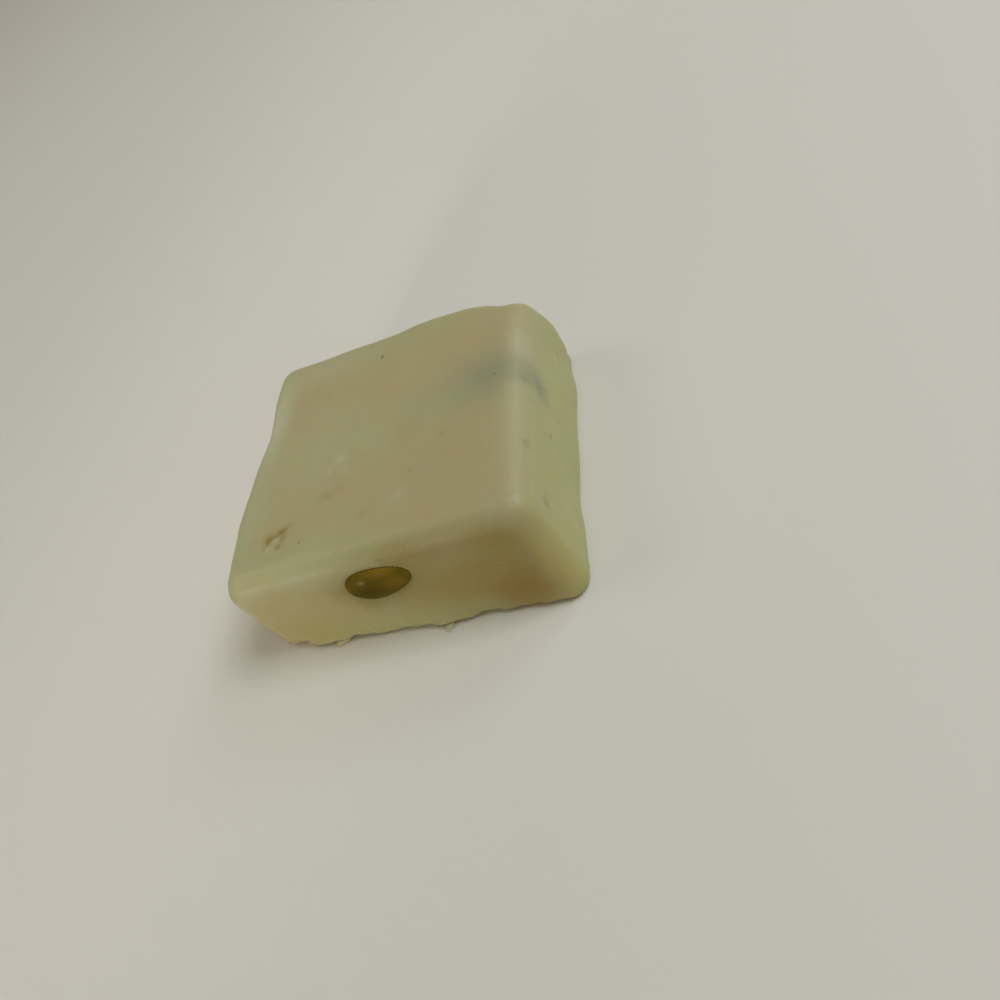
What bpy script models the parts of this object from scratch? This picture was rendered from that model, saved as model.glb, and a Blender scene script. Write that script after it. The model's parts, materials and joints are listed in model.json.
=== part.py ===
"""A hand-cut square of malai barfi, a soft milk sweet, with half a pistachio kernel in its front cut.

Metres, +Z up. The origin is under the middle of the piece, on the surface that it stands on.
The front cut, which shows the kernel, faces -Y, and the right cut faces +X.
"""

import math
from collections import namedtuple

import bmesh
import bpy
from mathutils import Matrix, Vector

MM = 0.001

# The square as it was marked out, before its edges were rounded
WIDTH = 44.0
DEPTH = 42.8
HEIGHT = 15.8

# Radii of the rounded edges: round the top, round the foot, and up the four corners
TOP_RIM = 2.9
FOOT_RIM = 1.3
UPRIGHT_EDGE = 3.1

# How far each corner lies from the true square, by its side in x, y and z
CORNER_SHIFTS = {
    (-1, -1, -1): (-0.1, 0.9, 0.0),
    (1, -1, -1): (1.7, -1.8, 0.0),
    (-1, 1, -1): (0.0, 0.0, 0.0),
    (1, 1, -1): (-0.2, 0.5, 0.0),
    (-1, -1, 1): (-0.1, 0.1, 0.1),
    (1, -1, 1): (-0.3, 0.8, 0.8),
    (-1, 1, 1): (0.8, 0.2, -0.7),
    (1, 1, 1): (-1.7, -0.6, -0.1),
}

# Shallow hollows and swells left by the knife and the hand: the place, the push and how far it reaches
Mark = namedtuple("Mark", "place push reach")
MARKS = (
    Mark((-21.0, 7.0, 14.2), (0.45, 0.0, -0.15), 5.0),
    Mark((-21.0, -8.0, 14.6), (-0.2, 0.0, 0.1), 4.5),
    Mark((-21.5, -18.9, 14.4), (0.35, 0.2, -0.25), 3.5),
    Mark((-21.0, -20.4, 12.0), (-0.25, -0.3, 0.0), 3.0),
    Mark((-18.7, -20.6, 0.9), (0.0, 0.45, 0.0), 2.6),
    Mark((-14.6, -20.8, 0.6), (0.0, -0.55, 0.0), 2.4),
    Mark((8.5, -21.9, 0.6), (0.0, 0.3, 0.0), 4.0),
    Mark((5.0, 19.8, 15.0), (0.0, 0.45, 0.3), 6.5),
    Mark((17.9, 20.0, 14.9), (-0.2, -0.8, -0.55), 3.6),
    Mark((20.7, 19.4, 9.2), (0.4, 0.3, 0.0), 3.6),
    Mark((21.8, 17.0, 1.6), (-0.45, -0.1, 0.0), 3.2),
    Mark((22.0, 12.2, 0.9), (0.4, 0.0, 0.0), 4.2),
    Mark((2.0, 3.0, 15.8), (0.0, 0.0, -0.25), 13.0),
)

# Slow waves over every face, and the crumbly foot where the piece was lifted off its tray
WAVE_HEIGHT = 0.12
WAVES = ((0.43, 0.31, 0.27, 0.6), (-0.29, 0.52, 0.35, 2.1), (0.61, -0.23, -0.44, 4.4))
CRAG_HEIGHT = 0.3
CRAGS = ((1.7, 1.1, 0.9, 0.3), (-1.2, 1.9, 1.4, 1.7), (2.3, -0.8, 1.1, 3.9))
CRAG_BAND = 2.6
STILL_BAND = 3.0

# Grid of the faceted solid: cells over the flat of each side, and round each edge
FLAT_CELLS = {"x": 21, "y": 20, "z": 7}
ROUND_CELLS = 4

# Half a kernel, its split face level with the front cut: its place, sizes, lean and blunt end
KERNEL_PLACE = (-0.5, -21.25, 10.6)
KERNEL_LENGTH = 9.2
KERNEL_BREADTH = 5.4
KERNEL_DEPTH = 2.8
KERNEL_SWELL = 0.4
KERNEL_LEAN = math.radians(8)
KERNEL_TAPER = 0.2
KERNEL_SEGMENTS = 28
KERNEL_RINGS = 16
CLEARANCE = 0.3

CREAM = (0.47, 0.41, 0.23, 1.0)
PISTACHIO = (0.13, 0.10, 0.02, 1.0)


def clear_scene():
    for obj in list(bpy.data.objects):
        bpy.data.objects.remove(obj)


def new_collection(name):
    collection = bpy.data.collections.new(name)
    bpy.context.scene.collection.children.link(collection)
    return collection


def new_material(name, colour, roughness):
    material = bpy.data.materials.new(name)
    material.use_nodes = True
    shader = material.node_tree.nodes["Principled BSDF"]
    shader.inputs["Base Color"].default_value = colour
    shader.inputs["Roughness"].default_value = roughness
    shader.inputs["Metallic"].default_value = 0.0
    return material


def new_object(name, bm, collection, material=None):
    """Turns a bmesh in millimetres into an object in metres."""
    bmesh.ops.scale(bm, vec=(MM, MM, MM), verts=bm.verts)
    mesh = bpy.data.meshes.new(name)
    bm.to_mesh(mesh)
    bm.free()
    mesh.shade_smooth()
    mesh.set_sharp_from_angle(angle=math.radians(50))
    if material:
        mesh.materials.append(material)
    obj = bpy.data.objects.new(name, mesh)
    collection.objects.link(obj)
    return obj


def stations(half, radius, flat_cells):
    """Grid lines along one side: even over the flat, and at even angles of arc round each edge."""
    flat = half - radius
    lines = [flat * (2 * i / flat_cells - 1) for i in range(flat_cells + 1)]
    for i in range(1, ROUND_CELLS):
        past = radius * math.tan(math.radians(45) * i / ROUND_CELLS)
        lines += [flat + past, -flat - past]
    return lines


def gridded_square():
    """The sharp block, centred on the origin, cut along every grid line."""
    bm = bmesh.new()
    bmesh.ops.create_cube(bm, size=1)
    bmesh.ops.scale(bm, vec=(WIDTH, DEPTH, HEIGHT), verts=bm.verts)
    sides = (("x", WIDTH, TOP_RIM), ("y", DEPTH, TOP_RIM), ("z", HEIGHT, TOP_RIM))
    for axis, (name, size, radius) in enumerate(sides):
        normal = Vector((axis == 0, axis == 1, axis == 2))
        for line in stations(size / 2, radius, FLAT_CELLS[name]):
            everything = bm.verts[:] + bm.edges[:] + bm.faces[:]
            bmesh.ops.bisect_plane(
                bm, geom=everything, dist=1e-5, plane_co=normal * line, plane_no=normal
            )
    return bm


def fillet(across, along):
    """Moves a point of a square corner onto the matching quarter circle."""
    reach = math.hypot(across, along)
    if reach < 1e-9:
        return across, along
    share = max(across, along) / reach
    return across * share, along * share


def rounded(point):
    """A point of the sharp block, moved onto the block with rounded edges."""
    side = [math.copysign(1, c) for c in point]
    x, y, z = (abs(c) for c in point)
    inset = min(WIDTH / 2 - x, DEPTH / 2 - y)
    rim = TOP_RIM if point.z > 0 else FOOT_RIM
    over = max(rim - inset, 0)
    up = max(rim - (HEIGHT / 2 - z), 0)
    kept, risen = fillet(over, up)
    core_x = min(x, WIDTH / 2 - UPRIGHT_EDGE)
    core_y = min(y, DEPTH / 2 - UPRIGHT_EDGE)
    out = Vector(fillet(x - core_x, y - core_y))
    pulled = out - out.normalized() * (over - kept)
    return Vector(
        (side[0] * (core_x + pulled.x), side[1] * (core_y + pulled.y), side[2] * (z - up + risen))
    )


def corner_shift(point):
    """The corners' shifts, blended over the block."""
    share = (point.x / (WIDTH / 2), point.y / (DEPTH / 2), point.z / (HEIGHT / 2))
    shift = Vector()
    for corner, amount in CORNER_SHIFTS.items():
        weight = math.prod((1 + s * c) / 2 for s, c in zip(share, corner))
        shift += weight * Vector(amount)
    return shift


def ripple(point, waves):
    """The mean of a few slanting sine waves, each given by its slopes and its start."""
    total = sum(math.sin(a * point.x + b * point.y + c * point.z + start) for a, b, c, start in waves)
    return total / len(waves)


def hand_cut(point):
    """A point of the sharp block, moved onto the piece as it was cut, standing on z = 0."""
    place = rounded(point)
    outward = Vector((point.x / WIDTH, point.y / DEPTH, point.z / HEIGHT))
    outward = Vector([c if abs(c) > 0.499 else 0 for c in outward]).normalized()
    place += corner_shift(place)
    place.z += HEIGHT / 2
    height = min(max(place.z / STILL_BAND, 0), 1)
    crag = CRAG_HEIGHT * ripple(place, CRAGS) * max(1 - place.z / CRAG_BAND, 0)
    wave = WAVE_HEIGHT * ripple(place, WAVES)
    push = Vector()
    for mark in MARKS:
        far = (place - Vector(mark.place)).length / mark.reach
        push += Vector(mark.push) * math.exp(-far * far)
    push += outward * wave
    push.x += outward.x * crag
    push.y += outward.y * crag
    push.z *= height
    return place + push


def middle_of(bm):
    """The middle of the mesh in plan."""
    xs = [v.co.x for v in bm.verts]
    ys = [v.co.y for v in bm.verts]
    return Vector(((min(xs) + max(xs)) / 2, (min(ys) + max(ys)) / 2, 0))


def make_square():
    """The piece's mesh, and the shift that puts its middle over the origin."""
    bm = gridded_square()
    for vert in bm.verts:
        vert.co = hand_cut(vert.co.copy())
    shift = -middle_of(bm)
    bmesh.ops.translate(bm, vec=shift, verts=bm.verts)
    return bm, shift


def make_kernel(shift, grown=0.0):
    """Half a kernel: an egg lying along x, shallow towards the cut at -Y and deep behind it."""
    bm = bmesh.new()
    bmesh.ops.create_uvsphere(bm, u_segments=KERNEL_SEGMENTS, v_segments=KERNEL_RINGS, radius=1)
    bmesh.ops.rotate(bm, cent=(0, 0, 0), matrix=Matrix.Rotation(math.radians(90), 3, "Y"), verts=bm.verts)
    for vert in bm.verts:
        along = vert.co.x
        narrowing = 1 - KERNEL_TAPER * along
        deep = KERNEL_DEPTH if vert.co.y > 0 else KERNEL_SWELL
        vert.co.x = along * (KERNEL_LENGTH / 2 + grown)
        vert.co.y *= deep * narrowing + grown
        vert.co.z *= KERNEL_BREADTH / 2 * narrowing + grown
    bmesh.ops.rotate(bm, cent=(0, 0, 0), matrix=Matrix.Rotation(-KERNEL_LEAN, 3, "Y"), verts=bm.verts)
    bmesh.ops.translate(bm, vec=Vector(KERNEL_PLACE) + shift, verts=bm.verts)
    return bm


def cut(obj, cutter):
    """Cuts the cutter's shape out of obj."""
    cutter.hide_render = True
    cutter.display_type = "WIRE"
    modifier = obj.modifiers.new("socket", "BOOLEAN")
    modifier.operation = "DIFFERENCE"
    modifier.solver = "EXACT"
    modifier.object = cutter


def main():
    clear_scene()
    parts = new_collection("malai_barfi")
    cutters = new_collection("cutters")
    cream = new_material("cream", CREAM, 0.45)
    green = new_material("pistachio", PISTACHIO, 0.35)
    square, shift = make_square()
    barfi = new_object("barfi", square, parts, cream)
    new_object("pistachio_half", make_kernel(shift), parts, green)
    cut(barfi, new_object("kernel_socket", make_kernel(shift, CLEARANCE), cutters))


main()
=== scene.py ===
"""The looks of a hand-cut square of malai barfi with half a pistachio kernel in its front cut.

Lengths are in millimetres along the frame's axes: +Z up, the front cut faces -Y and the right cut +X.
They become metres where a mesh, a light or the camera is made.
"""

import itertools
import json
import math
from collections import namedtuple

import bpy
import numpy as np
from mathutils import Matrix, Vector

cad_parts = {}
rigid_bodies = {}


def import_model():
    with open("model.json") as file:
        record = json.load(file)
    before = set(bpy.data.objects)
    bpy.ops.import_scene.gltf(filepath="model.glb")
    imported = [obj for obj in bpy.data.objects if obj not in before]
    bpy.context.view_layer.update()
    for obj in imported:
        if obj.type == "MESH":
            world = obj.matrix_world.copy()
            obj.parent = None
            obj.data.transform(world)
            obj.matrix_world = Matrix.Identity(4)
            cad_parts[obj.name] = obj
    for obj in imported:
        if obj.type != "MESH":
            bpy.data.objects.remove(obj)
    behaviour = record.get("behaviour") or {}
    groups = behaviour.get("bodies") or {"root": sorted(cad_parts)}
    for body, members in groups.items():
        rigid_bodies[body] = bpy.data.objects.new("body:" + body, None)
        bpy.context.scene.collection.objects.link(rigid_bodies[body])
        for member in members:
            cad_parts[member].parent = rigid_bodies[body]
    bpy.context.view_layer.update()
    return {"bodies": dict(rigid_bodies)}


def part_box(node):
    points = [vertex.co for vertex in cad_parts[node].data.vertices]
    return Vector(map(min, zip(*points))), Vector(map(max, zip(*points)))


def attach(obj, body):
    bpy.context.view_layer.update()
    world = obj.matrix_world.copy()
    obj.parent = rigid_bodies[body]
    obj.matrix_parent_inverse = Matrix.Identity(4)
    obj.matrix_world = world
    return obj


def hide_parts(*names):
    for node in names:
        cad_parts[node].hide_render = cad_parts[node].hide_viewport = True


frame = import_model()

MM = 0.001
BODY = next(iter(frame["bodies"]))

# The square as it was marked out, before its edges were rounded, and the radii of its edges
WIDTH = 44.0
DEPTH = 42.8
HEIGHT = 15.8
TOP_RIM = 2.9
FOOT_RIM = 1.3
UPRIGHT_EDGE = 3.1

# How far each corner lies from the true square, by its side in x, y and z
CORNER_SHIFTS = {
    (-1, -1, -1): (-0.1, 0.9, 0.0),
    (1, -1, -1): (1.7, -1.8, 0.0),
    (-1, 1, -1): (0.0, 0.0, 0.0),
    (1, 1, -1): (-0.2, 0.5, 0.0),
    (-1, -1, 1): (-0.1, 0.1, 0.1),
    (1, -1, 1): (-0.3, 0.8, 0.8),
    (-1, 1, 1): (0.8, 0.2, -0.7),
    (1, 1, 1): (-1.7, -0.6, -0.1),
}

# Where the middle of the cut piece's box lies from the middle of the square as marked out
BOX_MIDDLE = (0.56, -0.49, 0.0)

# Shallow hollows and swells left by the knife and the hand: the place, the push and how far it reaches
Mark = namedtuple("Mark", "place push reach")
MARKS = (
    Mark((-21.0, 7.0, 14.2), (0.45, 0.0, -0.15), 5.0),
    Mark((-21.0, -8.0, 14.6), (-0.2, 0.0, 0.1), 4.5),
    Mark((-21.5, -18.9, 14.4), (0.35, 0.2, -0.25), 3.5),
    Mark((-21.0, -20.4, 12.0), (-0.25, -0.3, 0.0), 3.0),
    Mark((-18.7, -20.6, 0.9), (0.0, 0.45, 0.0), 2.6),
    Mark((-14.6, -20.8, 0.6), (0.0, -0.55, 0.0), 2.4),
    Mark((8.5, -21.9, 0.6), (0.0, 0.3, 0.0), 4.0),
    Mark((4.2, -21.3, 0.4), (0.0, -0.75, 0.0), 3.2),
    Mark((-5.2, -20.8, 0.4), (0.0, -0.4, 0.0), 1.8),
    Mark((5.0, 19.8, 15.0), (0.0, 0.45, 0.3), 6.5),
    Mark((17.9, 20.0, 14.9), (-0.25, -0.85, -0.65), 3.6),
    Mark((20.8, 18.9, 7.6), (0.55, 0.35, 0.0), 3.3),
    Mark((21.6, 17.6, 1.2), (-0.35, -0.1, 0.0), 2.4),
    Mark((21.0, 18.6, 3.9), (0.25, 0.12, 0.0), 1.7),
    Mark((22.2, -8.0, 1.5), (-0.45, 0.0, 0.0), 4.2),
    Mark((22.2, -19.6, 1.5), (0.4, -0.1, 0.0), 3.3),
    Mark((22.0, 12.2, 0.9), (0.1, 0.0, 0.0), 4.2),
    Mark((2.0, 3.0, 15.8), (0.0, 0.0, -0.25), 13.0),
)

# Slow waves over every face, and the crags of the crumbly foot. Each wave is its slopes along x, y and z and
# its start. The crags fade out up to the top of their band, and in the still band pushes up or down fade too
WAVE_HEIGHT = 0.12
WAVES = ((0.43, 0.31, 0.27, 0.6), (-0.29, 0.52, 0.35, 2.1), (0.61, -0.23, -0.44, 4.4))
CRAG_HEIGHT = 0.3
CRAGS = ((1.7, 1.1, 0.9, 0.3), (-1.2, 1.9, 1.4, 1.7), (2.3, -0.8, 1.1, 3.9))
CRAG_BAND = 2.6
STILL_BAND = 3.0

# Cells of the fine surface: their breadth over the flats, and their number round each edge
CELL = 0.28
ROUND_CELLS = 14

# Fine relief of the paste: the height, the size and the seed of each kind
Relief = namedtuple("Relief", "height size seed")
SOFT_UNEVENNESS = Relief(0.06, 3.1, 11)
MILK_GRAINS = Relief(0.03, 0.85, 12)
KNIFE_DRAG = Relief(0.035, 0.9, 13)
DRAG_STRETCH = 0.1
CRUMBLE = (Relief(0.22, 1.8, 14), Relief(0.26, 0.8, 15))
CRUMBLE_BAND = 2.4

# The right cut is firmer: the share of its crumble that it loses, and how soon as a face turns to the right
FIRM_SHARE = 0.9
FIRM_GAIN = 1.5

# Pin pits at random points
PIN_PITS = 110
PIN_PIT_REACH = (0.22, 0.5)
PIN_PIT_DEPTH = (0.05, 0.16)
PIN_PIT_SEED = 5

# A torn scratch on top near the front left corner, with two raised flakes
TEAR = ((-12.6, -12.1, 15.8), (-13.8, -13.2, 15.8), (-15.4, -13.7, 15.8), (-15.8, -14.7, 15.8))
TEAR_DEPTH = 0.2
TEAR_REACH = 0.5
TEAR_FLAKES = ((-14.2, -14.4, 15.8), (-15.0, -15.6, 15.8))
FLAKE_HEIGHT = 0.16
FLAKE_REACH = 0.5

# Half a kernel, its face level with the front cut: its place on the square, sizes, lean and taper
KERNEL_PLACE = (-0.62, -21.25, 10.51)
KERNEL_LENGTH = 9.2
KERNEL_BREADTH = 5.6
KERNEL_DEPTH = 2.8
KERNEL_SWELL = 0.4
KERNEL_LEAN = math.radians(7.4)
KERNEL_TAPER = 0.32
KERNEL_CELLS = (96, 72)

# How blunt the kernel's left and right ends are: 2 is round, and more is blunter
END_POWERS = (1.75, 3.5)

# Wrinkles drawn out along the kernel, and the share of their height that its hidden side keeps
KERNEL_WRINKLES = (Relief(0.07, 0.9, 31), Relief(0.03, 0.4, 32))
WRINKLE_STRETCH = 0.22
HIDDEN_WRINKLES = 0.3

# The paste round the kernel: the socket's share of the kernel's size, how far behind the kernel's edge the
# paste meets it, how far out it comes back to the cut, and the low swell of it there. A face is part of the
# front cut where its way out along y is below the last of these
SOCKET_SHARE = 0.92
EDGE_SINK = 0.07
MOUTH_REACH = 0.4
LIP_HEIGHT = 0.07
LIP_PLACE = 1.16
LIP_REACH = 0.1
FRONT_FACING = -0.5

# Crumbs at the foot, drawn out to a point at one end: two large ones in front, and a few small ones. Their
# spacing is how far apart in the random relief they take their unevenness
Crumb = namedtuple("Crumb", "place reach turn")
LARGE_CRUMBS = (
    Crumb((-12.75, -20.55, 0.34), (1.2, 0.95, 0.45), math.radians(227)),
    Crumb((3.6, -22.15, 0.26), (0.95, 0.6, 0.3), math.radians(-88)),
)
CRUMB_TAPER = 0.72
CRUMB_CELLS = (16, 12)
CRUMB_ROUGHNESS = Relief(0.3, 0.7, 41)
CRUMB_SPACING = 7

# The small ones: their number, reach, stretch along each axis and turn, and the share of the reach that
# lifts them off the foot. They lie in a band of heights, where the paste faces neither up, down nor right
SMALL_CRUMBS = 16
SMALL_CRUMB_REACH = (0.12, 0.26)
SMALL_CRUMB_STRETCH = (0.7, 1.3)
SMALL_CRUMB_TURN = (0, 6.3)
SMALL_CRUMB_LIFT = 0.2
SMALL_CRUMB_BAND = (0.15, 1.1)
SMALL_CRUMB_SEED = 8
LEVEL_FACING = 0.8
RIGHT_FACING = 0.3

# Linear colours
TAN = (0.49, 0.408, 0.216, 1.0)
# Khaki is the paste's own tone, and also the colour of painted sheen on the rims and painted light on the
# right cut
KHAKI_AND_SHEEN = (0.46, 0.455, 0.236, 1.0)
# Milk white of grains and pale spots, also used for painted sheen and painted light on the rims and crumbs
MILK_WHITE_AND_SHEEN = (0.58, 0.56, 0.38, 1.0)
# A lighter yellow cream that is painted light
LIT_CREAM = (0.49, 0.475, 0.195, 1.0)
# A deep tan that is mostly painted shade
SHADE_AND_DEEP_TAN = (0.41, 0.318, 0.092, 1.0)
# Brown of small dots, also used for painted shade and painted warm bounce light on the front cut
BROWN_AND_BOUNCE = (0.36, 0.21, 0.035, 1.0)
AMBER = (0.30, 0.235, 0.04, 1.0)
KERNEL_SHADOW = (0.32, 0.322, 0.203, 1.0)
# A warm cream that is painted light
GLOW_CREAM = (0.57, 0.475, 0.19, 1.0)
KERNEL_STAIN = (0.26, 0.22, 0.05, 1.0)
SPECK = (0.15, 0.14, 0.06, 1.0)
OLIVE = (0.124, 0.088, 0.003, 1.0)
DARK_OLIVE = (0.1, 0.074, 0.002, 1.0)
KERNEL_BROWN = (0.272, 0.168, 0.018, 1.0)
KERNEL_DARK = (0.07, 0.052, 0.0008, 1.0)
KERNEL_GREEN = (0.17, 0.145, 0.012, 1.0)
KERNEL_AMBER = (0.24, 0.15, 0.012, 1.0)
# A pale colour for a painted highlight on the kernel
KERNEL_PAINTED_HIGHLIGHT = (0.33, 0.28, 0.1, 1.0)
FLOOR = (0.82, 0.79, 0.725, 1.0)

# Soft patches of colour: the place, the reach along each axis, the strength and the turn
Patch = namedtuple("Patch", "place reach strength turn", defaults=((0.0, 0.0, 0.0),))
# Khaki: the patches over the top are the paste's own tone; those along the rims, over the right cut and
# along the front foot are painted sheen and painted light
KHAKI_TONE_AND_SHEEN_PATCHES = (
    Patch((-9.0, -16.8, 16.0), (8.0, 2.8, 4.0), 0.7),
    Patch((3.0, -19.2, 15.8), (8.0, 1.8, 3.0), 0.6),
    Patch((-6.5, -0.5, 15.6), (9.0, 6.0, 4.0), 0.75),
    Patch((10.0, 2.4, 15.8), (7.0, 3.2, 4.0), 0.8),
    Patch((-4.0, 18.6, 15.0), (17.0, 3.2, 5.0), 0.6),
    Patch((-20.8, 0.0, 14.5), (3.2, 26.0, 6.0), 1.1),
    Patch((22.0, 0.0, 7.0), (3.2, 34.0, 12.0), 1.0),
    Patch((-9.0, -20.2, 14.6), (7.5, 2.0, 2.4), 0.8),
    Patch((0.0, -22.0, 1.2), (26.0, 3.5, 3.4), 0.9),
    Patch((0.0, 22.0, 3.0), (26.0, 3.5, 5.0), 0.7),
)
# Painted light: a lighter yellow over the right cut, along the front foot and up the front right corner,
# where light falls on the paste and shines through its edge
PAINTED_LIGHT_PATCHES = (
    Patch((23.0, 0.0, 7.0), (3.4, 34.0, 8.0), 1.0),
    Patch((-6.0, -22.4, 1.6), (16.0, 2.4, 2.6), 0.5),
    Patch((21.2, -21.2, 6.0), (2.0, 2.0, 7.0), 0.6),
)
# Painted shade on the front cut's right part and under its right rim; the patch low at the front left is a
# deeper tan of the paste
SHADE_AND_DEEP_TAN_PATCHES = (
    Patch((7.5, -21.5, 7.5), (7.0, 3.0, 5.0), 0.9),
    Patch((15.8, -21.9, 7.0), (5.0, 3.2, 7.0), 0.95),
    Patch((15.3, -20.7, 13.2), (4.2, 2.6, 2.0), 0.6),
    Patch((-15.5, -21.5, 3.5), (7.0, 3.0, 4.5), 0.5),
)
# Painted warm light up the front right upright edge, where light shines through the paste
PAINTED_GLOW_PATCHES = (
    Patch((20.6, -20.8, 8.0), (1.7, 1.7, 8.0), 0.65),
    Patch((21.8, -21.0, 3.0), (1.5, 2.0, 2.5), 0.3),
)
SHADOW_PATCHES = (
    Patch((12.6, 3.9, 16.0), (6.4, 4.3, 3.0), 0.42),
    Patch((14.0, 7.6, 16.0), (3.6, 2.4, 2.0), 0.2),
    Patch((15.2, 4.0, 16.0), (2.6, 2.9, 2.0), 0.42),
    Patch((18.9, 5.0, 15.6), (1.8, 2.2, 1.6), 0.22),
    Patch((20.6, 3.8, 13.2), (2.0, 1.9, 2.8), 0.4, (-0.9, 0.0, 0.0)),
    Patch((20.7, 3.3, 12.7), (2.0, 1.45, 2.0), 0.5, (-0.9, 0.0, 0.0)),
    Patch((19.8, 2.7, 15.1), (1.4, 0.75, 1.2), 0.5),
    Patch((21.0, 2.2, 10.6), (2.0, 1.1, 1.8), 0.2),
    Patch((20.9, 4.4, 11.2), (1.5, 1.6, 1.4), 0.35),
)
TEAR_PATCHES = (
    Patch((-13.6, -12.9, 15.8), (0.9, 0.5, 2.0), 0.7, (0.0, 0.0, 0.7)),
    Patch((-14.6, -13.5, 15.8), (1.0, 0.4, 2.0), 0.4, (0.0, 0.0, 0.3)),
    Patch((-15.5, -13.9, 15.8), (0.55, 0.8, 2.0), 0.8),
    Patch((-13.1, -14.2, 15.8), (0.55, 1.0, 2.0), 0.55),
    Patch((-13.5, -15.7, 15.8), (0.45, 0.4, 2.0), 0.7),
    Patch((-14.6, -14.1, 15.8), (2.6, 2.2, 2.0), 0.1),
)
# Brown: the small dots on top and beside the kernel are the paste's own; on the front cut, most at the foot
# of its right part, the brown is painted shade with painted warm bounce light
BROWN_SPOT_AND_BOUNCE_PATCHES = (
    Patch((15.4, -21.8, 3.8), (3.6, 4.0, 3.2), 0.7),
    Patch((19.0, -21.8, 5.0), (2.4, 3.0, 4.0), 0.15),
    Patch((6.5, -21.4, 6.2), (5.0, 3.0, 3.0), 0.12),
    Patch((3.0, -20.4, 13.9), (4.2, 2.5, 1.5), 0.4),
    Patch((7.6, -20.6, 13.4), (3.0, 3.0, 1.8), 0.2),
    Patch((-4.6, -20.9, 6.4), (1.4, 2.0, 1.3), 0.25),
    Patch((-7.5, -9.0, 15.8), (1.0, 0.8, 2.0), 0.3),
    Patch((-5.7, -8.2, 15.8), (0.9, 0.9, 2.0), 0.2),
    Patch((-1.3, -14.2, 16.0), (0.6, 0.6, 1.0), 0.28),
    Patch((9.2, -3.8, 16.0), (0.6, 0.6, 1.0), 0.25),
    Patch((-10.6, 11.3, 15.4), (0.6, 0.6, 1.0), 0.2),
    Patch((5.3, -9.0, 16.0), (0.5, 0.5, 1.0), 0.2),
)
# Pale: the small spots on top and the tear's flakes are the paste's own; the long patches along the rims,
# the broad one over the top's left part and those on the two large crumbs are painted sheen and painted
# light
WHITE_SPOT_AND_SHEEN_PATCHES = (
    Patch((-11.0, 0.0, 15.8), (8.0, 12.0, 3.0), 0.12),
    Patch((18.9, 2.0, 15.7), (2.1, 22.0, 1.8), 0.38),
    Patch((-19.6, 8.5, 15.2), (2.2, 9.0, 3.0), 0.55),
    Patch((-19.0, 9.5, 15.4), (1.7, 6.0, 2.0), 0.4),
    Patch((-19.4, -10.0, 15.4), (2.0, 6.0, 3.0), 0.2),
    Patch((-19.4, -20.2, 14.4), (2.8, 2.8, 2.8), 0.35),
    Patch((-11.5, -20.6, 14.6), (6.0, 1.8, 1.8), 0.42),
    Patch((16.3, -19.2, 15.7), (3.5, 1.2, 1.5), 0.25),
    Patch((-14.2, -14.4, 15.8), (0.55, 0.5, 1.5), 0.5),
    Patch((-15.0, -15.6, 15.8), (0.5, 0.5, 1.5), 0.5),
    Patch((-6.2, -2.9, 15.7), (0.9, 0.9, 1.0), 0.4),
    Patch((-7.7, -4.3, 15.7), (0.7, 0.7, 1.0), 0.3),
    Patch((-5.2, -5.2, 15.7), (0.7, 0.7, 1.0), 0.25),
    Patch((3.7, -12.3, 16.0), (1.0, 1.0, 1.0), 0.28),
    Patch((-11.5, 17.2, 15.2), (6.0, 2.0, 2.0), 0.25),
    Patch((19.6, 8.8, 14.9), (1.5, 3.0, 2.0), 0.4),
    Patch((3.6, -22.5, 0.3), (1.0, 0.8, 0.7), 0.9),
    Patch((-12.9, -20.6, 0.3), (1.2, 1.0, 0.8), 0.85),
)
SPECK_PATCHES = (
    Patch((-2.5, 15.9, 15.4), (0.22, 0.3, 0.6), 1.0),
    Patch((16.1, 4.0, 15.9), (0.24, 0.24, 0.6), 0.7),
    Patch((-10.1, -16.0, 16.1), (0.22, 0.25, 0.6), 0.45),
    Patch((21.2, -4.1, 10.9), (0.8, 0.3, 0.35), 0.28),
    Patch((21.3, -3.4, 9.5), (0.8, 0.35, 0.4), 0.65),
    Patch((21.6, -15.9, 11.2), (1.2, 1.1, 0.9), 0.3),
)

# Stains: the kernel's halo and two beside it, placed from its middle, and a small one by the right rim
KERNEL_HALO = (KERNEL_LENGTH * 0.56, 3.0, KERNEL_BREADTH * 0.6)
KERNEL_STAINS = (
    Patch((0.0, 0.0, -0.3), KERNEL_HALO, 1.15, (0.0, -KERNEL_LEAN, 0.0)),
    Patch((-2.0, 0.0, -2.2), (3.6, 3.0, 1.9), 0.17),
    Patch((-5.2, 0.0, 0.0), (2.2, 3.0, 1.6), 0.25),
)
RIM_STAIN = Patch((20.4, -8.8, 14.9), (0.8, 0.7, 0.7), 0.35)

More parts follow.
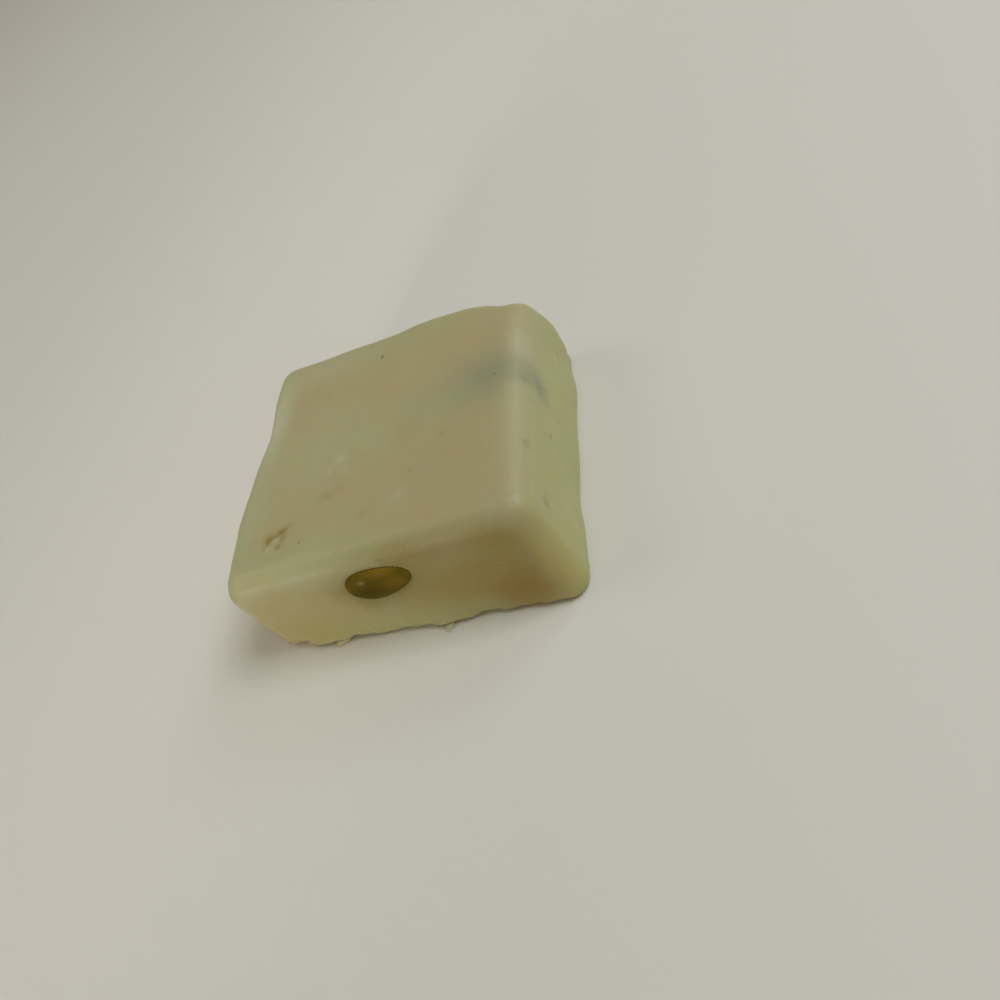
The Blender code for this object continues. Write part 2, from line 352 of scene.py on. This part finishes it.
# Shades of the kernel, placed from its middle in shares of its half length, its depth and its half breadth
KERNEL_PATCHES = {
    KERNEL_BROWN: (
        Patch((0.35, -0.1, 0.75), (0.6, 1.5, 0.36), 0.9, (0.0, 0.25, 0.0)),
        Patch((0.42, -0.1, -0.15), (0.4, 1.5, 0.55), 0.58),
        Patch((-0.6, -0.1, 0.4), (0.35, 1.5, 0.4), 0.2),
    ),
    KERNEL_GREEN: (
        Patch((0.95, -0.1, 0.1), (0.1, 1.5, 0.3), 0.7),
        Patch((0.2, -0.1, -0.95), (0.7, 1.5, 0.16), 0.5),
    ),
    KERNEL_AMBER: (
        Patch((0.66, -0.1, -0.3), (0.14, 1.5, 0.3), 0.5),
        Patch((-0.9, -0.1, 0.3), (0.06, 1.5, 0.2), 0.5),
    ),
    KERNEL_DARK: (Patch((-0.45, -0.1, -0.35), (0.5, 1.5, 0.45), 0.7),),
    # A pale spot near the kernel's left end is a painted highlight
    KERNEL_PAINTED_HIGHLIGHT: (Patch((-0.38, -0.1, 0.45), (0.1, 1.5, 0.13), 0.7),),
}

# How far a pattern's edges wander: the size of the clouds that move it, and by how much
WIDE_WANDER = (6.0, 1.2)
SOFT_WANDER = (1.6, 0.7)
CLOSE_WANDER = (0.7, 0.25)

# Clouds in the paste: the size and detail of each kind, and how strongly it shows
MOTTLE = (3.4, 3.0)
MOTTLE_SHARE = 1.6
KHAKI_BASE = 0.1
GRAIN_CLOUDS = (0.55, 2.0)
GRAIN_EDGES = (0.55, 0.8)
GRAIN_SHARE = 0.14
GLOSS_CLOUDS = (2.4, 3.0)

# Loose specks: the size of their cells, the share of cells that have one and its radius, then its strength,
# the share of its radius that is full, and how softly the cells are picked
LOOSE_SPECKS = (3.4, 0.12, 0.16)
LOOSE_SPECK_STRENGTH = 0.35
SPECK_CORE = 0.6
SPECK_PICK_EDGE = 0.01

# Fine relief that only the light feels: the clouds and the share of each kind, and the height of them all
FINE_CLOUDS = (0.32, 3.0)
FINE_SHARE = 0.5
GRAIN_BUMP_SHARE = 0.6
DRAG_CLOUDS = (0.5, 2.0)
DRAG_CLOUD_STRETCH = 0.15
DRAG_SHARE = 0.3
FINE_HEIGHT = 0.07

# Streaks along the kernel: how many clouds fit in each of its half sizes, and the clouds' size and detail
STREAK_SQUEEZE = (1.2, 3.0, 5.0)
STREAK_CLOUDS = (1.0, 4.0)
STREAK_SHARE = 0.6
STREAK_HEIGHT = 0.12
KERNEL_CLOUDS = (1.8, 2.0)
OLIVE_EDGES = (0.35, 0.65)

# Roughness of each finish at its least, and how much its clouds add
PASTE_ROUGHNESS = (0.36, 0.16)
KERNEL_ROUGHNESS = (0.38, 0.2)
FLOOR_ROUGHNESS = (0.6, 0.1)

# The floor: half its side, how far it lies under the piece, and the size of its clouds
FLOOR_HALF = 3000.0
FLOOR_DROP = 0.05
FLOOR_CLOUD = 30.0

# Camera: its place, the point it looks at, its roll, its lens and sensor, and the metres that it sees
CAMERA_PLACE = (57.34, -91.26, 95.15)
CAMERA_TARGET = (12.62, -8.21, 5.70)
CAMERA_ROLL = math.radians(35.37)
LENS = 36.0
SENSOR = 36.0
SIGHT = (0.005, 20.0)

# Lights: where each stands and points, how broad it is, how wide it spreads, its watts and its colour
Lamp = namedtuple("Lamp", "place aim breadth spread power colour")
LAMPS = {
    "key": Lamp((465, 70, 750), (0, 0, 8), 460, 180, 3.4, (0.88, 0.95, 1.0)),
    "left": Lamp((-430, 20, 520), (0, 0, 8), 300, 180, 0.4, (0.95, 1.0, 0.92)),
    "sheen": Lamp((450, 560, 540), (0, 0, 8), 260, 180, 0.7, (0.88, 0.95, 1.0)),
    "fill": Lamp((-160, -390, 62), (-56, -22, 6), 90, 16, 0.0118, (1.0, 0.97, 0.80)),
}
SKY = (0.215, 0.19, 0.145, 1.0)


# Patterns worked out over points


def random_relief(place, relief):
    """Random heights, up or down, at the corners of cubes of the relief's size, blended smoothly between."""
    table_side = 64
    table = np.random.default_rng(relief.seed).uniform(-1, 1, (table_side,) * 3)
    cell = place / relief.size
    corner = np.floor(cell).astype(int)
    share = cell - corner
    share = share * share * (3 - 2 * share)
    height = np.zeros(len(place))
    for step in itertools.product((0, 1), repeat=3):
        weight = np.where(step, share, 1 - share).prod(1)
        i, j, k = ((corner + step) % table_side).T
        height += weight * table[i, j, k]
    return relief.height * height


def ripple(place, waves):
    """The mean of a few slanting sine waves, each of its slopes times the place, plus its start."""
    return np.mean([np.sin(place @ wave[:3] + wave[3]) for wave in waves], axis=0)


def distance_to_stretch(place, start, end):
    """How far each point is from the nearest point of the straight stretch between two ends."""
    start, end = np.array(start), np.array(end)
    along = end - start
    share = np.clip((place - start) @ along / (along @ along), 0, 1)
    return np.linalg.norm(place - start - share[:, None] * along, axis=1)


def hump(distance, reach):
    """A bell curve, 1 at the middle and nearly 0 at twice its reach."""
    return np.exp(-((distance / reach) ** 2))


# The square of fudge


def stations(half, radius):
    """Grid lines along one side: even over the flat, and at even angles of arc round each edge."""
    flat = half - radius
    cells = math.ceil(2 * flat / CELL)
    arc = radius * np.tan(np.linspace(0, math.pi / 4, ROUND_CELLS + 1)[1:])
    return np.concatenate((-flat - arc[::-1], np.linspace(-flat, flat, cells + 1), flat + arc))


def sharp_block():
    """The six sides of the sharp block as grids along its grid lines, welded where they meet."""
    lines = [stations(size / 2, TOP_RIM) for size in (WIDTH, DEPTH, HEIGHT)]
    grids, quads = [], []
    count = 0
    for axis, end in itertools.product(range(3), (0, -1)):
        first, second = (other for other in range(3) if other != axis)
        u, v = np.meshgrid(lines[first], lines[second], indexing="ij")
        grid = np.empty(u.shape + (3,))
        grid[..., first] = u
        grid[..., second] = v
        grid[..., axis] = lines[axis][end]
        number = count + np.arange(u.size).reshape(u.shape)
        quad = np.stack((number[:-1, :-1], number[1:, :-1], number[1:, 1:], number[:-1, 1:]), axis=-1)
        faces_out = (end == -1) != (axis == 1)
        quads.append(quad.reshape(-1, 4)[:, :: 1 if faces_out else -1])
        grids.append(grid.reshape(-1, 3))
        count += u.size
    points = np.concatenate(grids)
    welded, index = np.unique(points.round(6), axis=0, return_inverse=True)
    return welded, index.reshape(-1)[np.concatenate(quads)]


def fillet(across, along):
    """Moves points of a square corner onto its quarter circle, each along its line to the middle."""
    reach = np.maximum(np.hypot(across, along), 1e-9)
    share = np.maximum(across, along) / reach
    return across * share, along * share


def rounded(points):
    """Points of the sharp block moved onto the block with rounded edges, and the way out of it there.

    A point near an edge slides along the line to the edge's inner corner, onto the arc about it.
    """
    side = np.where(points < 0, -1, 1)
    x, y, z = np.abs(points).T
    inset = np.minimum(WIDTH / 2 - x, DEPTH / 2 - y)
    rim = np.where(points[:, 2] > 0, TOP_RIM, FOOT_RIM)
    over = np.maximum(rim - inset, 0)
    up = np.maximum(rim - (HEIGHT / 2 - z), 0)
    kept, risen = fillet(over, up)
    core = np.minimum(np.column_stack((x, y)), (WIDTH / 2 - UPRIGHT_EDGE, DEPTH / 2 - UPRIGHT_EDGE))
    out = np.stack(fillet(x - core[:, 0], y - core[:, 1]), axis=1)
    way = out / np.maximum(np.linalg.norm(out, axis=1, keepdims=True), 1e-9)
    pulled = core + out - way * (over - kept)[:, None]
    place = side * np.column_stack((pulled, z - up + risen))
    outward = side * np.column_stack((way * over[:, None], up))
    return place, outward / np.maximum(np.linalg.norm(outward, axis=1, keepdims=True), 1e-9)


def corner_shift(place):
    """The corners' shifts, each weighted by how near the point is to that corner along x, y and z."""
    share = place / (WIDTH / 2, DEPTH / 2, HEIGHT / 2)
    shift = np.zeros_like(place)
    for corner, amount in CORNER_SHIFTS.items():
        weight = ((1 + share * corner) / 2).prod(1)
        shift += weight[:, None] * amount
    return shift


def hand_cut(points):
    """Points of the sharp block moved onto the piece as cut, standing on z = 0, and the way out there.

    The rounded block is pulled to its corners, then pushed by its waves, its crumbly foot and its marks.
    """
    place, outward = rounded(points)
    place += corner_shift(place)
    place[:, 2] += HEIGHT / 2
    low = np.maximum(1 - place[:, 2] / CRAG_BAND, 0)
    crag = CRAG_HEIGHT * ripple(place, CRAGS) * low * crumbly(outward)
    push = outward * (WAVE_HEIGHT * ripple(place, WAVES))[:, None]
    push[:, :2] += outward[:, :2] * crag[:, None]
    for mark in MARKS:
        push += hump(np.linalg.norm(place - mark.place, axis=1), mark.reach)[:, None] * mark.push
    return place + still(push, place), outward


def crumbly(outward):
    """How much of its crumble each place keeps: all of it, but little of it on the firmer right cut."""
    return 1 - FIRM_SHARE * np.clip(FIRM_GAIN * outward[:, 0], 0, 1)


def still(push, place):
    """A push whose upward part fades out in proportion to the height towards the flat underside."""
    height = np.clip(place[:, 2] / STILL_BAND, 0, 1)
    return push * np.column_stack((np.ones((len(push), 2)), height))


def paste_relief(place, outward):
    """Random relief of several sizes added up.

    It is unevenness and milk grains all over, upright lines where the knife dragged down the cuts,
    crumble towards the foot, little of it on the firmer right cut, and pin pits at random points.
    """
    cut = 1 - outward[:, 2] ** 2
    low = np.clip(1 - place[:, 2] / CRUMBLE_BAND, 0, 1) * cut * crumbly(outward)
    height = random_relief(place, SOFT_UNEVENNESS) + random_relief(place, MILK_GRAINS)
    height += cut * random_relief(place * (1, 1, DRAG_STRETCH), KNIFE_DRAG)
    for crumble in CRUMBLE:
        height += low * random_relief(place, crumble)
    rng = np.random.default_rng(PIN_PIT_SEED)
    for _ in range(PIN_PITS):
        middle = place[rng.integers(len(place))]
        depth = rng.uniform(*PIN_PIT_DEPTH)
        reach = rng.uniform(*PIN_PIT_REACH)
        height -= depth * hump(np.linalg.norm(place - middle, axis=1), reach)
    return height


def tear_relief(place):
    """A groove of bell-shaped section along a bent line, with flakes raised as humps beside it."""
    stretches = [distance_to_stretch(place, a, b) for a, b in zip(TEAR, TEAR[1:])]
    height = -TEAR_DEPTH * hump(np.min(stretches, axis=0), TEAR_REACH)
    for flake in TEAR_FLAKES:
        height += FLAKE_HEIGHT * hump(np.linalg.norm(place - flake, axis=1), FLAKE_REACH)
    return height


def fudge_square(kernel_middle, shift):
    """The fine surface of the piece, with the kernel's socket pressed into its front cut.

    Round the kernel, the front cut rises in a low swell, then comes in to meet the kernel just behind its
    edge. Inside the edge, it goes back onto an egg a little smaller than the kernel.
    """
    points, quads = sharp_block()
    place, outward = hand_cut(points)
    place += shift
    height = paste_relief(place, outward) + tear_relief(place)
    place += still(outward * height[:, None], place)
    ratio, narrowing = kernel_ratio(place - kernel_middle)
    own = np.clip((ratio - 1) / MOUTH_REACH, 0, 1)
    own = own * own * (3 - 2 * own)
    hollow = np.sqrt(np.maximum(1 - (ratio / SOCKET_SHARE) ** 2, 0))
    deep = KERNEL_DEPTH * SOCKET_SHARE * narrowing * hollow
    lip = LIP_HEIGHT * hump(ratio - LIP_PLACE, LIP_REACH)
    edge = kernel_middle[1] + EDGE_SINK
    pressed = edge + own * (place[:, 1] - edge) + deep - lip
    place[:, 1] = np.where(outward[:, 1] < FRONT_FACING, pressed, place[:, 1])
    return place, quads, outward


# The kernel and the crumbs


def end_power(along):
    """How blunt the kernel is at each share along it, as the power that the share is raised to."""
    return np.where(along < 0, *END_POWERS)


def kernel_ratio(offset):
    """How far out places about the kernel's middle lie, 1 on its outline, and its narrowing there."""
    x = offset[:, 0] * math.cos(KERNEL_LEAN) + offset[:, 2] * math.sin(KERNEL_LEAN)
    z = offset[:, 2] * math.cos(KERNEL_LEAN) - offset[:, 0] * math.sin(KERNEL_LEAN)
    along = x / (KERNEL_LENGTH / 2)
    narrowing = 1 - KERNEL_TAPER * np.clip(along, -1, 1)
    across = z / (KERNEL_BREADTH / 2 * narrowing)
    return np.sqrt(np.abs(along) ** end_power(along) + across**2), narrowing


def closed_grid(rings, turns):
    """A ball as rings between two poles on the x axis: the shares along, the angles round and its faces."""
    along = np.cos(np.linspace(math.pi, 0, rings + 1)[1:-1])
    angle = np.arange(turns) * (2 * math.pi / turns)
    shares = np.concatenate(([-1.0], np.repeat(along, turns), [1.0]))
    angles = np.concatenate(([0.0], np.tile(angle, rings - 1), [0.0]))
    ring = 1 + np.arange((rings - 1) * turns).reshape(rings - 1, turns)
    after = np.roll(ring, -1, axis=1)
    quads = np.stack((ring[:-1], after[:-1], after[1:], ring[1:]), axis=-1).reshape(-1, 4)
    last = len(shares) - 1
    caps = [(0, b, a) for a, b in zip(ring[0], after[0])]
    caps += [(last, a, b) for a, b in zip(ring[-1], after[-1])]
    return shares, angles, quads.tolist() + [tuple(int(i) for i in cap) for cap in caps]


def half_kernel(middle):
    """An egg lying along x, narrower towards its right end, shallow towards the cut and deep behind it.

    Its girth is the root of 1 less a power of the share along, and wrinkles drawn out along it swell it.
    """
    along, angle, faces = closed_grid(*KERNEL_CELLS)
    girth = np.sqrt(np.maximum(1 - np.abs(along) ** end_power(along), 0))
    narrowing = 1 - KERNEL_TAPER * along
    y, z = girth * np.cos(angle), girth * np.sin(angle)
    deep = np.where(y > 0, KERNEL_DEPTH, KERNEL_SWELL)
    place = np.column_stack(
        (along * KERNEL_LENGTH / 2, y * deep * narrowing, z * KERNEL_BREADTH / 2 * narrowing)
    )
    shown = np.where(y > 0, HIDDEN_WRINKLES, 1.0) * girth
    for wrinkles in KERNEL_WRINKLES:
        wrinkle = shown * random_relief(place * (WRINKLE_STRETCH, 1, 1), wrinkles)
        place += wrinkle[:, None] * np.column_stack((0 * along, np.cos(angle), np.sin(angle)))
    turn = np.array(Matrix.Rotation(-KERNEL_LEAN, 3, "Y"))
    return place @ turn.T + middle, faces


def shaped_crumb(crumb, number):
    """A ball narrowed to one end, made uneven, squeezed to the crumb's reach and turned about z."""
    along, angle, faces = closed_grid(*CRUMB_CELLS)
    girth = np.sqrt(np.maximum(1 - along**2, 0)) * (1 - CRUMB_TAPER * along)
    way = np.column_stack((along, girth * np.cos(angle), girth * np.sin(angle)))
    uneven = 1 + random_relief(way + CRUMB_SPACING * number, CRUMB_ROUGHNESS)
    turn = np.array(Matrix.Rotation(crumb.turn, 3, "Z"))
    place = crumb.place + (way * uneven[:, None] * crumb.reach) @ turn.T
    place[:, 2] = np.maximum(place[:, 2], 0)
    return place, faces


def small_crumbs(place, outward):
    """Crumbs at random places of the foot, half sunk in it, but none on the firmer right cut."""
    rng = np.random.default_rng(SMALL_CRUMB_SEED)
    lowest, highest = SMALL_CRUMB_BAND
    low = (place[:, 2] > lowest) & (place[:, 2] < highest)
    sideways = (np.abs(outward[:, 2]) < LEVEL_FACING) & (outward[:, 0] < RIGHT_FACING)
    crumbs = []
    for spot in rng.choice(np.flatnonzero(low & sideways), SMALL_CRUMBS, replace=False):
        reach = rng.uniform(*SMALL_CRUMB_REACH) * rng.uniform(*SMALL_CRUMB_STRETCH, 3)
        middle = place[spot] + outward[spot] * SMALL_CRUMB_LIFT * reach.mean()
        crumbs.append(Crumb(middle, reach, rng.uniform(*SMALL_CRUMB_TURN)))
    return crumbs


def joined(shapes):
    """Several shapes, each of points and faces, as one."""
    points, faces = [], []
    count = 0
    for shape_points, shape_faces in shapes:
        points.append(shape_points)
        faces += [[count + i for i in face] for face in shape_faces]
        count += len(shape_points)
    return np.concatenate(points), faces


# Materials


class Wire:
    """A value that changes over a surface. Sums with it add the Math nodes that work them out."""

    def __init__(self, finish, socket):
        self.finish = finish
        self.socket = socket

    def maths(self, operation, *values):
        return self.finish.add("ShaderNodeMath", {"operation": operation}, dict(enumerate(values)))

    def __add__(self, other):
        return self.maths("ADD", self, other)

    def __sub__(self, other):
        return self.maths("SUBTRACT", self, other)

    def __mul__(self, other):
        return self.maths("MULTIPLY", self, other)

    def __rsub__(self, other):
        return self.maths("SUBTRACT", other, self)

    def __rpow__(self, other):
        return self.maths("POWER", other, self)

    __radd__ = __add__
    __rmul__ = __mul__


class Finish:
    """A material whose nodes are added one at a time."""

    def __init__(self, name):
        self.material = bpy.data.materials.new(name)
        self.material.use_nodes = True
        self.tree = self.material.node_tree
        self.shader = self.tree.nodes["Principled BSDF"]
        position = self.add("ShaderNodeTexCoord", output="Object")
        self.place = self.vector_maths("SCALE", {0: position, "Scale": 1 / MM})

    def set(self, node, sockets):
        for key, value in sockets.items():
            if isinstance(value, Wire):
                self.tree.links.new(value.socket, node.inputs[key])
            else:
                node.inputs[key].default_value = value

    def add(self, kind, settings=None, sockets=None, output=0):
        """Adds a node with its settings, then its sockets' values or links, and gives an output."""
        node = self.tree.nodes.new(kind)
        for key, value in (settings or {}).items():
            setattr(node, key, value)
        self.set(node, sockets or {})
        return Wire(self, node.outputs[output])

    def vector_maths(self, operation, sockets, output="Vector"):
        return self.add("ShaderNodeVectorMath", {"operation": operation}, sockets, output)

    def mix(self, share, first, second):
        """The first colour where share is 0, the second where it is 1 or more.

        The node has sockets for every kind of data, and those for colours are 6, 7 and the output 2.
        """
        sockets = {0: share, 6: first, 7: second}
        return self.add("ShaderNodeMix", {"data_type": "RGBA"}, sockets, output=2)

    def clouds(self, size, detail=2.0, place=None):
        """Cloudy noise from 0 to 1, in clouds of about that size."""
        sockets = {"Vector": place or self.place, "Scale": 1 / size, "Detail": detail}
        return self.add("ShaderNodeTexNoise", None, sockets)

    def between(self, value, low, high):
        """0 below low, 1 above high, and smooth between."""
        sockets = {"Value": value, "From Min": low, "From Max": high}
        return self.add("ShaderNodeMapRange", {"interpolation_type": "SMOOTHSTEP"}, sockets)

    def wandering(self, size, reach):
        """The place, moved about at random by up to about that reach."""
        sockets = {"Vector": self.place, "Scale": 1 / size}
        noise = self.add("ShaderNodeTexNoise", None, sockets, output="Color")
        middled = self.vector_maths("SUBTRACT", {0: noise, 1: (0.5, 0.5, 0.5)})
        return self.vector_maths("MULTIPLY_ADD", {0: middled, 1: (2 * reach,) * 3, 2: self.place})

    def local(self, place, middle, reach, turn):
        """The place about a middle, turned back and measured in reaches."""
        sockets = {"Vector": place, "Location": middle, "Rotation": turn, "Scale": reach}
        return self.add("ShaderNodeMapping", {"vector_type": "TEXTURE"}, sockets)

    def soft_patches(self, place, patches):
        """The sum of soft patches, each its strength times a bell curve about its place."""
        total = 0
        for patch in patches:
            near = self.local(place, patch.place, patch.reach, patch.turn)
            far = self.vector_maths("DOT_PRODUCT", {0: near, 1: near}, output="Value")
            total = total + patch.strength * math.exp(-1) ** far
        return total

    def specks(self, size, share, radius):
        """Round dots of that radius in that share of the cells of that size, 1 inside and 0 outside."""
        cells = {"Vector": self.place, "Scale": 1 / size}
        distance = self.add("ShaderNodeTexVoronoi", None, cells, output="Distance")
        colour = self.add("ShaderNodeTexVoronoi", None, cells, output="Color")
        pick = self.add("ShaderNodeSeparateColor", None, {"Color": colour})
        inside = 1 - self.between(distance, radius / size * SPECK_CORE, radius / size)
        return inside * self.between(pick, 1 - share, 1 - share + SPECK_PICK_EDGE)

    def bump(self, height, tall):
        """A fine relief that only the light feels, as tall as that where the height is 1."""
        sockets = {"Height": height, "Distance": tall * MM, "Strength": 1.0}
        return self.add("ShaderNodeBump", None, sockets)


def milk_fudge(kernel_middle):
    """Paste in patches of tan and khaki, with milk grains, specks, stains and a buried kernel's shadow, and
    painted sheen, light and shade.
    """
    finish = Finish("milk_fudge")
    wide = finish.wandering(*WIDE_WANDER)
    wander = finish.wandering(*SOFT_WANDER)
    close = finish.wandering(*CLOSE_WANDER)
    mottle = finish.clouds(*MOTTLE) - 0.5
    # Khaki: the paste's own tone in clouds and top patches, plus painted sheen and painted light on the
    # rims, the right cut and the front foot
    khaki = finish.soft_patches(wide, KHAKI_TONE_AND_SHEEN_PATCHES) + mottle * MOTTLE_SHARE + KHAKI_BASE
    colour = finish.mix(khaki, TAN, KHAKI_AND_SHEEN)
    # Painted light in yellow over the right cut, the front foot and the front right corner
    colour = finish.mix(finish.soft_patches(wide, PAINTED_LIGHT_PATCHES), colour, LIT_CREAM)
    # Painted shade on the front cut's right part, and a deeper tan low at the front left
    colour = finish.mix(finish.soft_patches(wide, SHADE_AND_DEEP_TAN_PATCHES), colour, SHADE_AND_DEEP_TAN)
    grains = finish.clouds(*GRAIN_CLOUDS)
    colour = finish.mix(finish.between(grains, *GRAIN_EDGES) * GRAIN_SHARE, colour, MILK_WHITE_AND_SHEEN)
    # Pale spots and flakes, and painted sheen and painted light on the rims, the top's left part and the
    # large crumbs
    colour = finish.mix(finish.soft_patches(close, WHITE_SPOT_AND_SHEEN_PATCHES), colour, MILK_WHITE_AND_SHEEN)
    # Brown dots, and painted shade with painted warm bounce light on the front cut's right part
    colour = finish.mix(finish.soft_patches(wander, BROWN_SPOT_AND_BOUNCE_PATCHES), colour, BROWN_AND_BOUNCE)
    # Painted warm light along the front right upright edge
    colour = finish.mix(finish.soft_patches(wide, PAINTED_GLOW_PATCHES), colour, GLOW_CREAM)
    colour = finish.mix(finish.soft_patches(wide, SHADOW_PATCHES), colour, KERNEL_SHADOW)
    stains = [stain._replace(place=tuple(kernel_middle + stain.place)) for stain in KERNEL_STAINS]
    stains.append(RIM_STAIN)
    colour = finish.mix(finish.soft_patches(wander, stains), colour, KERNEL_STAIN)
    colour = finish.mix(finish.soft_patches(close, TEAR_PATCHES), colour, AMBER)
    loose = finish.specks(*LOOSE_SPECKS) * LOOSE_SPECK_STRENGTH
    colour = finish.mix(finish.soft_patches(finish.place, SPECK_PATCHES) + loose, colour, SPECK)

    drawn = finish.vector_maths("MULTIPLY", {0: finish.place, 1: (1.0, 1.0, DRAG_CLOUD_STRETCH)})
    height = finish.clouds(*FINE_CLOUDS) * FINE_SHARE + grains * GRAIN_BUMP_SHARE
    height = height + finish.clouds(*DRAG_CLOUDS, drawn) * DRAG_SHARE
    least, added = PASTE_ROUGHNESS
    finish.set(
        finish.shader,
        {
            "Base Color": colour,
            "Roughness": least + added * finish.clouds(*GLOSS_CLOUDS),
            "Normal": finish.bump(height, FINE_HEIGHT),
            "Subsurface Weight": 0.75,
            "Subsurface Radius": (1.0, 0.75, 0.4),
            "Subsurface Scale": 1.1 * MM,
            "IOR": 1.45,
        },
    )
    return finish.material


def pistachio(middle):
    """Olive with a brown upper edge, a green tip, a dark lower left, fine streaks along it and a painted
    highlight.
    """
    finish = Finish("pistachio")
    half = (KERNEL_LENGTH / 2, KERNEL_DEPTH, KERNEL_BREADTH / 2)
    near = finish.local(finish.place, tuple(middle), half, (0.0, -KERNEL_LEAN, 0.0))
    streaks = finish.clouds(*STREAK_CLOUDS, finish.vector_maths("MULTIPLY", {0: near, 1: STREAK_SQUEEZE}))
    soft = finish.clouds(*KERNEL_CLOUDS)
    blend = streaks * STREAK_SHARE + soft * (1 - STREAK_SHARE)
    colour = finish.mix(finish.between(blend, *OLIVE_EDGES), DARK_OLIVE, OLIVE)
    for shade, patches in KERNEL_PATCHES.items():
        colour = finish.mix(finish.soft_patches(near, patches), colour, shade)
    least, added = KERNEL_ROUGHNESS
    finish.set(
        finish.shader,
        {
            "Base Color": colour,
            "Roughness": least + added * soft,
            "Normal": finish.bump(streaks, STREAK_HEIGHT),
            "Specular IOR Level": 0.05,
            "Subsurface Weight": 0.25,
            "Subsurface Radius": (0.5, 0.4, 0.15),
            "Subsurface Scale": 1.0 * MM,
        },
    )
    return finish.material


def pale_floor():
    """A plain matt surface with the faintest unevenness of gloss."""
    finish = Finish("pale_floor")
    least, added = FLOOR_ROUGHNESS
    roughness = least + added * finish.clouds(FLOOR_CLOUD)
    finish.set(finish.shader, {"Base Color": FLOOR, "Roughness": roughness})
    return finish.material


# Pieces, floor, lights and camera


def new_mesh(name, points, faces, material):
    """Turns points in millimetres and their faces into a smooth object in metres."""
    mesh = bpy.data.meshes.new(name)
    mesh.from_pydata((points * MM).tolist(), [], [list(face) for face in faces])
    mesh.shade_smooth()
    mesh.materials.append(material)
    obj = bpy.data.objects.new(name, mesh)
    bpy.context.scene.collection.objects.link(obj)
    return obj


def make_floor():
    """A wide level square just under the piece."""
    corners = FLOOR_HALF * np.array([(-1, -1, 0), (1, -1, 0), (1, 1, 0), (-1, 1, 0)])
    floor = new_mesh("floor", corners - (0, 0, FLOOR_DROP), [(0, 1, 2, 3)], pale_floor())


def make_camera():
    """The camera looks from its place to its target, then rolls about that line."""
    data = bpy.data.cameras.new("camera")
    data.lens = LENS
    data.sensor_width = SENSOR
    data.clip_start, data.clip_end = SIGHT
    camera = bpy.data.objects.new("camera", data)
    bpy.context.scene.collection.objects.link(camera)
    sight = Vector(CAMERA_TARGET) - Vector(CAMERA_PLACE)
    level = sight.to_track_quat("-Z", "Y").to_matrix()
    camera.matrix_world = (level @ Matrix.Rotation(-CAMERA_ROLL, 3, "Z")).to_4x4()
    camera.location = Vector(CAMERA_PLACE) * MM
    bpy.context.scene.camera = camera


def make_lamp(name, lamp):
    """A square area light at its place, turned to its aim."""
    data = bpy.data.lights.new(name, "AREA")
    data.size = lamp.breadth * MM
    data.spread = math.radians(lamp.spread)
    data.energy = lamp.power
    data.color = lamp.colour
    obj = bpy.data.objects.new(name, data)
    bpy.context.scene.collection.objects.link(obj)
    obj.location = Vector(lamp.place) * MM
    obj.rotation_euler = (Vector(lamp.place) - Vector(lamp.aim)).to_track_quat("Z", "Y").to_euler()


def make_sky():
    """The same soft light from all round."""
    world = bpy.data.worlds.new("sky")
    world.use_nodes = True
    world.node_tree.nodes["Background"].inputs["Color"].default_value = SKY
    bpy.context.scene.world = world


def plan_shift():
    """The move from the square's axes to the frame's: its box's middle in plan onto the CAD node's."""
    low, high = (np.array(corner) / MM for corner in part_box("barfi"))
    return ((low + high) / 2 - BOX_MIDDLE) * (1, 1, 0)


def main():
    make_camera()
    shift = plan_shift()
    kernel_middle = np.array(KERNEL_PLACE) + shift
    place, quads, outward = fudge_square(kernel_middle, shift)
    fudge = milk_fudge(kernel_middle)
    square = new_mesh("fudge_square", place, quads.tolist(), fudge)
    kernel = new_mesh("kernel_half", *half_kernel(kernel_middle), pistachio(kernel_middle))
    every_crumb = list(LARGE_CRUMBS) + small_crumbs(place, outward)
    shapes = [shaped_crumb(crumb, number) for number, crumb in enumerate(every_crumb)]
    crumbs = new_mesh("foot_crumbs", *joined(shapes), fudge)
    for piece, slot in ((square, "milk_fudge"), (kernel, "pistachio"), (crumbs, "milk_fudge")):
        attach(piece, BODY)
    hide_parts("barfi")
    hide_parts("pistachio_half")
    make_floor()
    for name, lamp in LAMPS.items():
        make_lamp(name, lamp)
    make_sky()
    bpy.context.scene.view_settings.view_transform = "Standard"


main()
